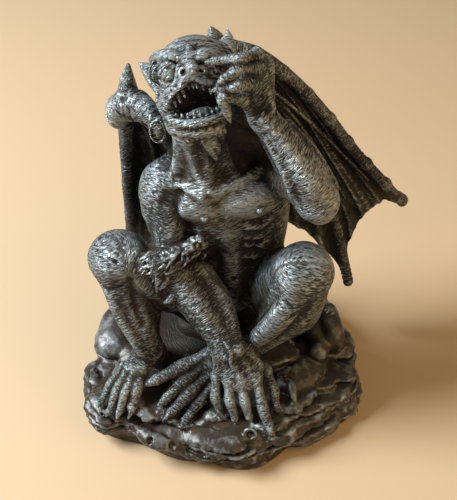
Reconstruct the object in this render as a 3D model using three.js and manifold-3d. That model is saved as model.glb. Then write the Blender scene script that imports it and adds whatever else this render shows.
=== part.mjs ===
// Crouching winged gargoyle on a rock, a small tabletop figure cast in one piece.
//
// Millimetres, +Z up. The origin is the middle of the flat underside of the rock.
// The figure faces -Y, so its own right hand is on the -X side.
// Every limb is a closed tube along a few nodes, every wing web is a closed curved plate,
// and the rock is a pile of ledges. manifold-3d joins them all into the one casting.

import * as THREE from 'three';
import { mergeVertices } from 'three/addons/utils/BufferGeometryUtils.js';
import Module from 'manifold-3d';

const wasm = await Module();
wasm.setup();

// ---------------------------------------------------------------- driving dimensions
const ROCK_RADIUS = 56; // mean radius of the rock at its foot
const ROCK_BACK_CUT = 6; // how much flatter the rock is behind
const LEDGE_TOP = 25; // height of the ledge that the feet and the hand rest on
const WEB_THICKNESS = 2.4; // wing web
const HEAD_CENTRE = new THREE.Vector3(-8, 1, 165);
const HEAD_PITCH = THREE.MathUtils.degToRad(40); // the head is thrown back
const HEAD_ROLL = THREE.MathUtils.degToRad(17); // and tilts to its own right
const HEAD_YAW = THREE.MathUtils.degToRad(6);
const LIMB_SIDES = 8;
const FINGER_SIDES = 5;

// Joints of the body, each [x, y, z, radius].
const SHOULDER_RIGHT = [-25, 2, 113, 10];
const ELBOW_RIGHT = [-22, -6, 82, 7.5];
const WRIST_RIGHT = [3, -31, 52, 5];
const PALM_RIGHT = [9, -36, 44, 8];
const SHOULDER_LEFT = [24, 8, 122, 11];
const ELBOW_LEFT = [36.5, -22, 128, 8.5];
const WRIST_LEFT = [15, -14, 163, 5];
const PALM_LEFT = [11, -13, 171, 7.5];
const HIP_RIGHT = [-8, 3, 48, 15];
const KNEE_RIGHT = [-44.5, -5.5, 83, 12];
const ANKLE_RIGHT = [-32, -21, 40, 6];
const HIP_LEFT = [20, 3, 48, 15];
const KNEE_LEFT = [34, -18, 87, 12.5];
const ANKLE_LEFT = [12, -17, 39, 7];
const WING_WRIST_LEFT = [0, 22, 167];
const WING_WRIST_RIGHT = [-37, 15, 150];

// ---------------------------------------------------------------- solids and booleans
function vector(node) {
  return new THREE.Vector3(node[0], node[1], node[2]);
}

function toManifold(geometry) {
  const bare = geometry.clone();
  bare.deleteAttribute('normal');
  bare.deleteAttribute('uv');
  const merged = mergeVertices(bare, 1e-4);
  const mesh = new wasm.Mesh({
    numProp: 3,
    vertProperties: new Float32Array(merged.attributes.position.array),
    triVerts: new Uint32Array(merged.index.array),
  });
  return new wasm.Manifold(mesh);
}

function toGeometry(manifold) {
  const mesh = manifold.getMesh();
  const geometry = new THREE.BufferGeometry();
  geometry.setAttribute('position', new THREE.BufferAttribute(mesh.vertProperties, 3));
  geometry.setIndex(new THREE.BufferAttribute(mesh.triVerts, 1));
  return geometry;
}

function joinAll(manifolds) {
  return manifolds.reduce((whole, next) => whole.add(next));
}

// A closed skin over rings of points; each ring has the same count, and the two poles close it.
function skinOverRings(rings, firstPole, lastPole) {
  const sides = rings[0].length;
  const positions = [];
  const index = [];
  for (const ring of rings) {
    for (const point of ring) {
      positions.push(point.x, point.y, point.z);
    }
  }
  const first = positions.length / 3;
  positions.push(firstPole.x, firstPole.y, firstPole.z, lastPole.x, lastPole.y, lastPole.z);
  for (let side = 0; side < sides; side++) {
    const next = (side + 1) % sides;
    index.push(first, next, side);
    for (let row = 0; row + 1 < rings.length; row++) {
      const low = row * sides;
      const high = low + sides;
      index.push(low + side, low + next, high + next, low + side, high + next, high + side);
    }
    const top = (rings.length - 1) * sides;
    index.push(first + 1, top + side, top + next);
  }
  const geometry = new THREE.BufferGeometry();
  geometry.setAttribute('position', new THREE.Float32BufferAttribute(positions, 3));
  geometry.setIndex(index);
  return toManifold(geometry);
}

// A smooth path through [x, y, z, radius] nodes, sampled `steps` times on each span.
function sampleNodes(nodes, steps) {
  const path = new THREE.CatmullRomCurve3(nodes.map(vector), false, 'centripetal');
  const count = (nodes.length - 1) * steps;
  const samples = [];
  for (let i = 0; i <= count; i++) {
    const along = i / steps;
    const span = Math.min(Math.floor(along), nodes.length - 2);
    const share = along - span;
    const radius = THREE.MathUtils.lerp(nodes[span][3], nodes[span + 1][3], share);
    samples.push({ point: path.getPoint(i / count), tangent: path.getTangent(i / count), radius });
  }
  return samples;
}

// A limb: a round-ended tube of changing radius. `flatness` below 1 thins it along `thin`.
function limb(nodes, sides = LIMB_SIDES, steps = 2, flatness = 1, thin = new THREE.Vector3(0, 0, 1)) {
  const samples = sampleNodes(nodes, steps);
  const start = samples[0];
  const end = samples[samples.length - 1];
  const capped = [];
  const CAP_REACH = 0.72; // the round cap has one ring at this share of the radius
  capped.push({ ...start, point: shifted(start, -CAP_REACH), radius: start.radius * CAP_REACH });
  capped.push(...samples);
  capped.push({ ...end, point: shifted(end, CAP_REACH), radius: end.radius * CAP_REACH });
  let across = thin.clone();
  const rings = capped.map((sample) => {
    across = across.clone().addScaledVector(sample.tangent, -across.dot(sample.tangent)).normalize();
    const wide = new THREE.Vector3().crossVectors(sample.tangent, across);
    const ring = [];
    for (let side = 0; side < sides; side++) {
      const angle = (side / sides) * Math.PI * 2;
      ring.push(sample.point.clone()
        .addScaledVector(across, -Math.sin(angle) * sample.radius * flatness)
        .addScaledVector(wide, Math.cos(angle) * sample.radius));
    }
    return ring;
  });
  return skinOverRings(rings, shifted(start, -1), shifted(end, 1));
}

function shifted(sample, share) {
  return sample.point.clone().addScaledVector(sample.tangent, sample.radius * share);
}

// An ellipsoid from three.js' sphere, placed by an optional matrix.
function ellipsoid(centre, radii, matrix = new THREE.Matrix4(), columns = 10, rows = 6) {
  const geometry = new THREE.SphereGeometry(1, columns, rows);
  geometry.scale(...radii);
  geometry.translate(...centre);
  geometry.applyMatrix4(matrix);
  return toManifold(geometry);
}

// ---------------------------------------------------------------- rock
// Radius of the rock's outline at an angle: a circle, cut flatter behind, with lobes in front.
const ROCK_LOBES = [
  { angle: -148, out: 14, width: 16 },
  { angle: -112, out: 6, width: 16 },
  { angle: -68, out: 6, width: 20 },
  { angle: -45, out: 4, width: 8 },
  { angle: -27, out: 12, width: 9 },
];

function rockRadius(degrees) {
  const behind = Math.max(0, Math.sin(THREE.MathUtils.degToRad(degrees)));
  let radius = ROCK_RADIUS - ROCK_BACK_CUT * behind;
  for (const lobe of ROCK_LOBES) {
    const away = ((degrees - lobe.angle + 540) % 360) - 180;
    radius += lobe.out * Math.exp(-((away / lobe.width) ** 2));
  }
  return radius;
}

// One ledge: the outline swept up through [height, scale] pairs about a centre.
function ledge(profile, centre, ripple = 0, sides = 24) {
  const rings = profile.map(([height, scale]) => {
    const ring = [];
    for (let side = 0; side < sides; side++) {
      const degrees = (side / sides) * 360;
      const angle = THREE.MathUtils.degToRad(degrees);
      const wave = 1 + ripple * Math.sin(3.1 + side * 2.4 + height * 0.3);
      const radius = rockRadius(degrees) * scale * wave;
      ring.push(new THREE.Vector3(
        centre[0] + radius * Math.cos(angle), centre[1] + radius * Math.sin(angle), height));
    }
    return ring;
  });
  const foot = new THREE.Vector3(centre[0], centre[1], profile[0][0]);
  const top = new THREE.Vector3(centre[0], centre[1], profile[profile.length - 1][0]);
  return skinOverRings(rings, foot, top);
}

// A boulder: a low-sided ball squashed to size and turned.
function boulder(centre, radii, turn) {
  const geometry = new THREE.DodecahedronGeometry(1, 0);
  geometry.rotateX(turn);
  geometry.rotateZ(turn * 2.3);
  geometry.scale(...radii);
  geometry.translate(...centre);
  return toManifold(geometry);
}

function buildRock() {
  const parts = [
    ledge([[0, 0.97], [5, 1.0], [12, 0.95]], [0, 0], 0, 40),
    ledge([[9, 0.86], [14, 0.93], [LEDGE_TOP - 4, 0.86]], [0, 1], 0.03),
    ledge([[16, 0.6], [22, 0.76], [LEDGE_TOP, 0.7]], [-1, 3], 0.04, 20),
    ledge([[20, 0.4], [28, 0.5], [33, 0.42]], [6, 14], 0.04, 14),
    boulder([46, 3, 24], [10, 14, 13], 0.4), // standing slab at the figure's left
    boulder([50, -19, 14], [13, 11, 9], 1.1),
    boulder([35, -34, 16], [15, 12, 7], 0.2),
    boulder([-43, 3, 21], [13, 14, 9], 0.8),
    boulder([-47, -29, 15], [14, 13, 9], 0.5),
    boulder([-4, -40, 16], [22, 13, 8], 0.3),
    boulder([16, 30, 26], [22, 15, 12], 0.9),
    boulder([-24, 27, 22], [18, 15, 11], 1.4),
  ];
  return joinAll(parts);
}

// ---------------------------------------------------------------- trunk
function trunkSection(x, y, z, halfWidth, halfDepth, sides) {
  const ring = [];
  for (let side = 0; side < sides; side++) {
    const angle = (side / sides) * Math.PI * 2;
    ring.push(new THREE.Vector3(x + halfWidth * Math.cos(angle), y + halfDepth * Math.sin(angle), z));
  }
  return ring;
}

function buildTrunk() {
  const SECTIONS = [
    [6, 6, 34, 14, 10],
    [6, 6, 40, 22, 15],
    [6, 7, 52, 21, 16],
    [5, 7, 68, 16, 14],
    [4, 6, 84, 17, 14.5],
    [2.5, 5, 98, 20, 16],
    [0.5, 4, 110, 23.5, 16.5],
    [-1, 5, 119, 21.5, 13.5],
    [-3, 5, 126, 13, 9.5],
  ];
  const rings = SECTIONS.map((s) => trunkSection(...s, 12));
  const trunk = skinOverRings(rings, new THREE.Vector3(6, 6, 32), new THREE.Vector3(-3, 5, 129));
  return joinAll([
    trunk,
    ellipsoid([-11, -4, 112], [13, 8.5, 10]), // flat chest muscles
    ellipsoid([10, -3.5, 114], [13, 8.5, 10]),
    limb([[-22, 4, 116, 9], [-4, 7, 125, 8], [21, 9, 123, 10]], 8, 1),
    limb([[-4, 4, 122, 9], [-8, 1, 134, 7.5], [-9, 0, 148, 8]], 8, 1),
    limb([[-15, -6, 121, 2.6], [-11, -6, 137, 3], [-13, -5, 150, 3]], 5, 1), // neck cords
    limb([[7, -5, 122, 2.6], [-2, -7, 137, 3], [-3, -8, 150, 3]], 5, 1),
  ]);
}

// ---------------------------------------------------------------- arms and legs
function buildArms() {
  return joinAll([
    limb([SHOULDER_RIGHT, [-26, -2, 98, 8.5], ELBOW_RIGHT]),
    limb([ELBOW_RIGHT, [-14, -14, 73, 9], [-3, -25, 60, 6.5], WRIST_RIGHT]),
    limb([WRIST_RIGHT, PALM_RIGHT], 10, 2, 0.7, new THREE.Vector3(0, -0.6, 0.8)),
    limb([SHOULDER_LEFT, [31, -6, 126, 9.5], ELBOW_LEFT]),
    limb([ELBOW_LEFT, [30, -20, 144, 9.5], [20, -16, 157, 6.5], WRIST_LEFT]),
    limb([WRIST_LEFT, PALM_LEFT], 10, 2, 0.75, new THREE.Vector3(0.7, -0.7, 0)),
    ...elbowTuft(),
  ]);
}

// A few shaggy locks hang from the right elbow, fanned between two directions.
function elbowTuft() {
  const LOCKS = 5;
  const locks = [];
  for (let i = 0; i < LOCKS; i++) {
    const share = i / (LOCKS - 1);
    const turn = THREE.MathUtils.lerp(Math.PI * 1.02, Math.PI * 1.62, share);
    const reach = 8 + 3 * Math.sin(i * 2.1);
    const root = [ELBOW_RIGHT[0] + 1 + share * 8, ELBOW_RIGHT[1] - 3 - share * 3, ELBOW_RIGHT[2] - 1];
    const tip = [root[0] + Math.cos(turn) * reach, root[1] - 3, root[2] + Math.sin(turn) * reach];
    locks.push(limb([[...root, 3], [...tip, 0.9]], 5, 1));
  }
  return locks;
}

function buildLegs() {
  const over = new THREE.Vector3(0, -0.4, 0.9);
  return joinAll([
    limb([HIP_RIGHT, [-28, -2, 69, 13], KNEE_RIGHT]),
    limb([KNEE_RIGHT, [-40, -12, 65, 9.5], [-33, -20, 47, 6], ANKLE_RIGHT]),
    limb([ANKLE_RIGHT, [-38, -30, 33, 7], [-42, -36, 30, 7]], 10, 2, 0.75, over),
    limb([HIP_LEFT, [28, -8, 70, 14], KNEE_LEFT]),
    limb([KNEE_LEFT, [30, -19, 68, 12], [20, -18, 49, 8.5], ANKLE_LEFT]),
    limb([ANKLE_LEFT, [6, -21, 35, 7.5], [-6, -26, 33, 7]], 10, 2, 0.8, over),
  ]);
}

// Fingers and toes, each given by its knuckle, middle joint and tip.
const RIGHT_HAND_FINGERS = [
  [[5, -34, 40], [2, -38, 31], [-1, -43, 23], 2.4],
  [[8, -36, 40], [7, -40, 31], [5, -44, 23], 2.6],
  [[12, -37, 40], [12, -40, 31], [12, -44, 22], 2.6],
  [[15, -37, 40], [18, -43, 28], [22, -50, 15], 2.9],
  [[18, -32, 40], [21, -36, 30], [24, -40, 21], 2.7],
];
const LEFT_HAND_FINGERS = [
  [[9.3, -14, 183], [3.5, -18, 188], [-3, -15, 186], 2.6],
  [[10.4, -14, 179], [4.5, -19, 184], [1, -15, 179], 2.7],
  [[9.5, -14, 174.5], [4, -19, 178], [0.4, -15, 175], 2.6],
  [[8, -14, 170], [4, -18, 173], [0.8, -14, 172], 2.3],
  [[6.5, -14, 168], [1, -18, 172], [3.2, -15, 164], 2.2],
];
const RIGHT_TOES = [
  [[-41, -33, 32], [-47, -36, 31], [-51, -38, 26], 3.1],
  [[-41, -34, 32], [-44, -39, 31], [-47, -42, 26], 3.1],
  [[-40, -35, 32], [-41, -40, 31], [-42, -44, 26], 3.1],
  [[-38, -34, 32], [-37, -38, 31], [-36, -41, 26], 3.3],
];
const LEFT_TOES = [
  [[-4, -24, 35], [-17, -29, 35], [-30, -34, 32], 3.9],
  [[-4, -27, 34], [-14, -34, 31], [-23, -40, 26], 3.6],
  [[-4, -29, 33], [-10, -37, 29], [-17, -44, 22], 3.4],
];

function buildDigits() {
  const digits = [...RIGHT_HAND_FINGERS, ...LEFT_HAND_FINGERS, ...RIGHT_TOES, ...LEFT_TOES];
  return joinAll(digits.map(([knuckle, middle, tip, radius]) => limb([
    [...knuckle, radius * 1.1], [...middle, radius], [...tip, radius * 0.55]], FINGER_SIDES, 1)));
}

// ---------------------------------------------------------------- head
// Head frame: x to the viewer's right, y out of the face, z to the crown.
function headMatrix() {
  const forward = new THREE.Vector3(
    -Math.sin(HEAD_YAW) * Math.cos(HEAD_PITCH), -Math.cos(HEAD_YAW) * Math.cos(HEAD_PITCH), Math.sin(HEAD_PITCH));
  const level = new THREE.Vector3(Math.cos(HEAD_YAW), -Math.sin(HEAD_YAW), 0);
  const upright = new THREE.Vector3().crossVectors(forward, level).normalize();
  const side = level.clone().multiplyScalar(Math.cos(HEAD_ROLL)).addScaledVector(upright, Math.sin(HEAD_ROLL));
  const up = upright.clone().multiplyScalar(Math.cos(HEAD_ROLL)).addScaledVector(level, -Math.sin(HEAD_ROLL));
  return new THREE.Matrix4().makeBasis(side, forward, up).setPosition(HEAD_CENTRE);
}

function buildHead() {
  const matrix = headMatrix();
  const at = (x, y, z, radius) => {
    const point = new THREE.Vector3(x, y, z).applyMatrix4(matrix);
    return [point.x, point.y, point.z, radius];
  };
  const place = (centre, radii, columns, rows) => ellipsoid(centre, radii, unmirrored(matrix), columns, rows);
  const solids = [
    place([0, -2, 3.5], [16, 16, 15.5], 14, 9), // cranium
    place([0, 6, -2], [13, 9, 9.5]), // middle of the face
    place([0, 11.5, 4], [3.8, 5, 4.5], 7, 5), // snub nose
    limb([at(-13, 2, -7, 3.4), at(-9, 8, -14, 3.6), at(0, 11, -17, 3.8), at(9, 8, -14, 3.6),
      at(13, 2, -7, 3.4)], 7, 1), // lower jaw
  ];
  for (const side of [-1, 1]) {
    solids.push(limb([at(side * 13, 7, 7, 2.2), at(side * 7.5, 12.5, 10.5, 2.6), at(side * 1.5, 13, 8, 2)], 6, 1));
    solids.push(limb([at(side * 12, 2, 8, 4), at(side * 17.5, -1, 13, 0.8)], 5, 1)); // pointed ear
  }
  const mouth = place([0, 14.5, -6.5], [8.6, 10, 5.4], 10, 6);
  let head = joinAll(solids).subtract(mouth);
  const eyes = [-1, 1].map((side) => place([side * 8, 11.5, 3.6], [3, 3, 3], 7, 5));
  head = joinAll([head, ...eyes, ...toothRows(at)]);
  return head;
}

// makeBasis above is left-handed when seen in this order, so spheres are mirrored back here.
function unmirrored(matrix) {
  return matrix.determinant() < 0 ? matrix.clone().multiply(new THREE.Matrix4().makeScale(-1, 1, 1)) : matrix;
}

// Two rows of pegs round the open mouth.
function toothRows(at) {
  const teeth = [];
  const TEETH = 5;
  for (let i = 0; i < TEETH; i++) {
    const share = (i / (TEETH - 1)) * 2 - 1;
    const across = share * 7;
    const back = 12.5 - 3.5 * share * share;
    const upperGum = 0.4 - 5 * share * share;
    const lowerGum = -13.2 + 4.5 * share * share;
    teeth.push(limb([at(across, back, upperGum, 0.95), at(across * 0.95, back, upperGum - 2.6, 0.5)], 4, 1));
    teeth.push(limb([at(across, back - 1, lowerGum, 0.95), at(across * 0.95, back - 1, lowerGum + 3, 0.5)], 4, 1));
  }
  return teeth;
}

// ---------------------------------------------------------------- wings
const LEFT_LEADING = [
  WING_WRIST_LEFT, [14, 25, 163], [30, 29, 147], [45, 32, 127], [58, 36, 106], [74, 41, 84], [85, 44, 68]];
const LEFT_SECOND = [WING_WRIST_LEFT, [18, 29, 146], [34, 33, 115], [50, 32, 75], [61, 28, 31]];
const LEFT_BACK = [WING_WRIST_LEFT, [6, 27, 145], [10, 24, 118], [10, 21, 94], [9, 20, 74]];
const RIGHT_LEADING = [WING_WRIST_RIGHT, [-39, 18, 125], [-40.5, 23, 95], [-42, 30, 68], [-46, 41, 40]];
const RIGHT_SECOND = [WING_WRIST_RIGHT, [-25, 22, 128], [-21, 27, 108], [-21, 35, 75], [-26, 43, 45]];
const RIGHT_BACK = [WING_WRIST_RIGHT, [-20, 18, 135], [-11, 20, 118], [-7, 21, 94], [-4, 21, 74]];

// A wing's web: one closed plate hung on three bones, leading, second and back. Between bones
// it sags back by `sag` and its lower edge is scalloped up. `reach` says how far down each bone
// the web comes.
function web(bones, reach, sag, scallop) {
  const curves = bones.map((nodes) => new THREE.CatmullRomCurve3(nodes.map(vector), false, 'centripetal'));
  const DOWN = 6;
  const ACROSS = 6; // three strips in each of the two panels
  const START = 0.06; // the web begins just below the wing's wrist
  const surface = (down, across) => {
    const panel = Math.min(Math.floor(across), curves.length - 2);
    const share = across - panel;
    const bay = Math.sin(Math.PI * share);
    const low = THREE.MathUtils.lerp(reach[panel], reach[panel + 1], share) - scallop[panel] * bay;
    const along = START + (low - START) * down;
    const point = curves[panel].getPoint(along).lerp(curves[panel + 1].getPoint(along), share);
    point.y += sag * bay * Math.sin(Math.PI * Math.min(1, Math.max(0, down * 0.9)));
    return point;
  };
  const NUDGE = 0.02;
  const rows = [];
  for (let i = 0; i <= DOWN; i++) {
    const front = [];
    const behind = [];
    const down = i / DOWN;
    const half = WEB_THICKNESS * (0.25 + 0.25 * Math.min(1, down * 4)); // thinner where the bones meet
    for (let j = 0; j <= ACROSS; j++) {
      const across = (j / ACROSS) * 2;
      const left = Math.max(0, across - NUDGE);
      const right = Math.min(2, across + NUDGE);
      const downward = surface(down + NUDGE, across).sub(surface(down - NUDGE, across));
      const sideward = surface(down, right).sub(surface(down, left));
      const normal = sideward.cross(downward).normalize().multiplyScalar(half);
      front.push(surface(down, across).add(normal));
      behind.push(surface(down, across).sub(normal));
    }
    rows.push([...front, ...behind.reverse()]);
  }
  const middle = (row) => row.reduce((sum, p) => sum.add(p), new THREE.Vector3()).divideScalar(row.length);
  return skinOverRings(rows, middle(rows[0]), middle(rows[DOWN]));
}

function bone(points, rootRadius, tipRadius) {
  const last = points.length - 1;
  return limb(points.map((p, i) => [...p, THREE.MathUtils.lerp(rootRadius, tipRadius, i / last)]), 6, 1);
}

function buildWings() {
  return joinAll([
    web([LEFT_LEADING, LEFT_SECOND, LEFT_BACK], [0.95, 0.86, 0.96], 3, [0.06, 0.2]),
    web([RIGHT_LEADING, RIGHT_SECOND, RIGHT_BACK], [0.93, 0.95, 0.96], 2, [0.1, 0.12]),
    bone(LEFT_LEADING, 3.6, 2),
    bone(LEFT_SECOND, 3, 1.8),
    bone(RIGHT_LEADING, 3.8, 2),
    bone(RIGHT_SECOND, 2.6, 1.8),
    limb([[9, 17, 118, 6], [6, 23, 144, 4.5], [...WING_WRIST_LEFT, 4.5]], 7, 1), // wing arms
    limb([[-11, 15, 117, 6], [-24, 17, 136, 4.5], [...WING_WRIST_RIGHT, 6]], 7, 1),
    limb([[0, 21, 168, 3.4], [-4, 20, 181, 0.8]], 5, 1), // upright thumb claws
    limb([[-35, 14, 155, 4], [-33, 14, 169, 0.8]], 5, 1),
    limb([[-36, 12, 151, 5.8], [-30, 7, 155, 5], [-25, 4, 150, 3.6], [-24, 2, 145, 2.6]], 7, 1), // hooked thumb
  ]);
}

// ---------------------------------------------------------------- the casting
const casting = joinAll([
  buildRock(), buildTrunk(), buildArms(), buildLegs(), buildDigits(), buildHead(), buildWings(),
]);

const graphite = new THREE.MeshStandardMaterial({ color: 0x2b2d2e, roughness: 0.5, metalness: 0.1 });
const gargoyle = new THREE.Mesh(toGeometry(casting), graphite);
gargoyle.name = 'gargoyle';

const group = new THREE.Group();
group.add(gargoyle);

export default group;
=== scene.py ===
# %% [markdown]
# # A crouching winged gargoyle, cast in dark resin
#
# The object is a tabletop figurine poured in one go, so it is one piece here too. It is
# modelled the way a sculptor works clay: round masses are pressed together until they melt
# into one another, then grooves are cut, then the skin is scratched. The clay is a grid of
# numbers that say how far each point is from the surface.
#
# All the sculpting is done in millimetres, with the middle of the rock's underside at the
# origin, +Z up and the figure facing -Y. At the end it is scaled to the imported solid's box.

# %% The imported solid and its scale
import math
import bpy
import numpy as np
import openvdb
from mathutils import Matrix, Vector


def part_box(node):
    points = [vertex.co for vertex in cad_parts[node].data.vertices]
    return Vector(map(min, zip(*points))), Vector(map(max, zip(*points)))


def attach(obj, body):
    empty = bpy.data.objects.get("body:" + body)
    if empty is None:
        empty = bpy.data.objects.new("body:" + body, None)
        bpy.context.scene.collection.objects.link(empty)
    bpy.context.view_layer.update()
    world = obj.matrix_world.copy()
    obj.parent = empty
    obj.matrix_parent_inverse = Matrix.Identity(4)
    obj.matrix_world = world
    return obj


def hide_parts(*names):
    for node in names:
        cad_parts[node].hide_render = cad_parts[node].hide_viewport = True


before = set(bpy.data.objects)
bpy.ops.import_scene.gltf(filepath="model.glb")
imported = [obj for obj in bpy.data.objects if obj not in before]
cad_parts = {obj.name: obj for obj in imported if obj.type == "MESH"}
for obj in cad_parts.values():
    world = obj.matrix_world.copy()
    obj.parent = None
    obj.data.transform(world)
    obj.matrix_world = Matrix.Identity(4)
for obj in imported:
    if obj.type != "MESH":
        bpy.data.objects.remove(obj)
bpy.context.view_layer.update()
low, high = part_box("gargoyle")
FIGURE_HEIGHT = 190.1
UNIT = (high[2] - low[2]) / FIGURE_HEIGHT
print("one sculpting millimetre is", round(UNIT * 1000, 4), "mm")

# %% [markdown]
# The grid is finer round the head and the raised hand, where the smallest forms are: teeth,
# eyelids and finger wrinkles. Elsewhere a coarser step saves time.

# %% The clay
# distances further than this from the surface are not kept
BAND = 4.0


def steps(*stops):
    """Grid lines: start, step, stop, step, stop and so on."""
    lines = [np.arange(stops[i], stops[i + 2], stops[i + 1]) for i in range(0, len(stops) - 2, 2)]
    return np.concatenate(lines).astype(np.float32)


COARSE, FINE, FINE_DEPTH = 0.6, 0.42, 0.45
GX = steps(-70, COARSE, -34, FINE, 18, COARSE, 92)
GY = steps(-66, COARSE, -34, FINE_DEPTH, 2, COARSE, 56)
GZ = steps(-2, COARSE, 138, FINE, 196)
CLAY = np.full((len(GX), len(GY), len(GZ)), BAND, np.float32)


def block(lo, hi):
    """The part of the grid inside a box, with its coordinates ready to broadcast."""
    cut = [slice(*np.searchsorted(g, (a, b))) for g, a, b in zip((GX, GY, GZ), lo, hi)]
    return tuple(cut), GX[cut[0]][:, None, None], GY[cut[1]][None, :, None], GZ[cut[2]][None, None, :]


def press(cut, dist, blend):
    """Add clay, melting it into what is there over a width of `blend`."""
    clay = CLAY[cut]
    melt = np.maximum(blend - np.abs(clay - dist), 0) if blend else 0
    np.minimum(clay, dist, out=clay)
    if blend:
        clay -= melt * melt / (4 * blend)


def cut_away(cut, dist, blend):
    """Remove clay, rounding the rim over a width of `blend`."""
    clay = CLAY[cut]
    melt = np.maximum(blend - np.abs(clay + dist), 0)
    np.maximum(clay, -dist, out=clay)
    clay += melt * melt / (4 * blend)


def smooth_path(nodes, parts):
    """Catmull-Rom curve through [x, y, z, radius] nodes."""
    n = np.array(nodes, float)
    if len(n) == 2:
        return n
    ends = np.vstack([2 * n[0] - n[1], n, 2 * n[-1] - n[-2]])
    out = []
    for i in range(1, len(ends) - 2):
        a, b, c, d = ends[i - 1:i + 3]
        for t in np.linspace(0, 1, parts, endpoint=False):
            out.append(0.5 * (2 * b + (c - a) * t + (2 * a - 5 * b + 4 * c - d) * t * t
                              + (3 * b - a - 3 * c + d) * t ** 3))
    out.append(n[-1])
    out = np.array(out)
    out[:, 3] = np.maximum(out[:, 3], 0.2)
    return out


def strand_field(path, x, y, z, rings=None, flat=None):
    """Distance to a tube of changing radius. `rings` is (pitch, depth) of ridges round it,
    `flat` is (direction, share) and thins it along that direction."""
    best = None
    run = 0.0
    if rings:
        # slow waves across the limb, so that no ridge is a perfect hoop
        sway = 1.7 * np.sin(x * 0.31 + z * 0.17) + 1.7 * np.sin(y * 0.37 - z * 0.23)
        patchy = 0.6 + 0.6 * np.sin(x * 0.27 - y * 0.33 + z * 0.21)
    for a, b in zip(path[:-1], path[1:]):
        ab = b[:3] - a[:3]
        length = max(float(np.linalg.norm(ab)), 1e-4)
        dx, dy, dz = x - a[0], y - a[1], z - a[2]
        t = np.clip((dx * ab[0] + dy * ab[1] + dz * ab[2]) / length ** 2, 0, 1).astype(np.float32)
        dx, dy, dz = dx - t * ab[0], dy - t * ab[1], dz - t * ab[2]
        if flat:
            way, share = flat
            off = (dx * way[0] + dy * way[1] + dz * way[2]) * (1 / share - 1)
            dx, dy, dz = dx + off * way[0], dy + off * way[1], dz + off * way[2]
        dist = np.sqrt(dx * dx + dy * dy + dz * dz) - (a[3] + t * (b[3] - a[3]))
        if flat:
            dist *= 0.5 + 0.5 * flat[1]
        if rings:
            wave = np.sin((run + t * length) * (2 * math.pi / rings[0]) + sway)
            dist -= rings[1] * wave * wave * wave * patchy
        best = dist if best is None else np.minimum(best, dist)
        run += length
    return best


def strand(nodes, blend=2.0, parts=4, rings=None, flat=None, carve=False):
    path = smooth_path(nodes, parts)
    reach = path[:, 3:4] + BAND
    cut, x, y, z = block((path[:, :3] - reach).min(0), (path[:, :3] + reach).max(0))
    dist = strand_field(path, x, y, z, rings, flat)
    (cut_away if carve else press)(cut, dist, blend)


def groove(nodes, blend):
    strand(nodes, blend, carve=True)


def egg(centre, radii, blend=2.0, axes=None, carve=False):
    """An ellipsoid; `axes` are its three unit directions."""
    centre, radii = np.array(centre, float), np.array(radii, float)
    reach = radii.max() + BAND
    cut, x, y, z = block(centre - reach, centre + reach)
    dx, dy, dz = x - centre[0], y - centre[1], z - centre[2]
    if axes is not None:
        dx, dy, dz = [dx * a[0] + dy * a[1] + dz * a[2] for a in axes]
    k0 = np.sqrt((dx / radii[0]) ** 2 + (dy / radii[1]) ** 2 + (dz / radii[2]) ** 2)
    k1 = np.sqrt((dx / radii[0] ** 2) ** 2 + (dy / radii[1] ** 2) ** 2 + (dz / radii[2] ** 2) ** 2)
    dist = k0 * (k0 - 1) / np.maximum(k1, 1e-3)
    (cut_away if carve else press)(cut, dist.astype(np.float32), blend)


print("clay grid", CLAY.shape)

# %% [markdown]
# ## The rock
#
# The rock is a low mound of worn layers with a lobed outline. Each layer has its own slightly
# different outline, which gives the ledges, and each lump is a squared-off pebble. Wavy level
# fissures are then cut in from the rim, which is what makes the mound read as split slabs.
# The real one is trimmed flat below, and so is this.

# %% Rock layers and lumps
rng = np.random.default_rng(11)
ROCK_RADIUS, ROCK_BACK_CUT = 55.5, 6.0
ROCK_LOBES = ((-148, 13.2, 18), (-112, 2.6, 14), (-76, 3.8, 16), (-45, 4, 8), (-27, 13, 10))


def rock_outline(angle, jitter=0.0, seed=0.0):
    degrees = np.degrees(angle)
    radius = ROCK_RADIUS - ROCK_BACK_CUT * np.maximum(0, np.sin(angle))
    for at, out, width in ROCK_LOBES:
        away = (degrees - at + 540) % 360 - 180
        radius = radius + out * np.exp(-(away / width) ** 2)
    wobble = np.sin(angle * 4 + seed) + 0.6 * np.sin(angle * 9 + seed * 2.3)
    return radius + jitter * wobble


def layer(z0, z1, share, jitter, seed, shift=(0, 0), roundness=2.2):
    cut, x, y, z = block((-72, -66, z0 - 4), (72, 56, z1 + 4))
    dx, dy = x - shift[0], y - shift[1]
    angle = np.arctan2(dy, dx)
    side = np.sqrt(dx * dx + dy * dy) - rock_outline(angle, jitter, seed) * share
    up = np.abs(z - (z0 + z1) / 2) - (z1 - z0) / 2
    side, up = side + roundness, up + roundness
    outside = np.hypot(np.maximum(side, 0), np.maximum(up, 0))
    dist = np.minimum(np.maximum(side, up), 0) + outside - roundness
    press(cut, dist.astype(np.float32), 0.8)


def lump(centre, radii, turn=0.0, tip=0.0, blend=1.2, power=3.2):
    """A squared-off pebble, turned about Z and tipped about its own long axis."""
    centre = np.array(centre, float)
    reach = max(radii) * 1.3 + BAND
    cut, x, y, z = block(centre - reach, centre + reach)
    ct, st, cp, sp = math.cos(turn), math.sin(turn), math.cos(tip), math.sin(tip)
    dx, dy, dz = x - centre[0], y - centre[1], z - centre[2]
    dx, dy = dx * ct + dy * st, dy * ct - dx * st
    dy, dz = dy * cp + dz * sp, dz * cp - dy * sp
    total = sum((np.abs(d) / r) ** power for d, r in zip((dx, dy, dz), radii)) ** (1 / power)
    dist = (total - 1) * min(radii)
    press(cut, dist.astype(np.float32), blend)


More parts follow.
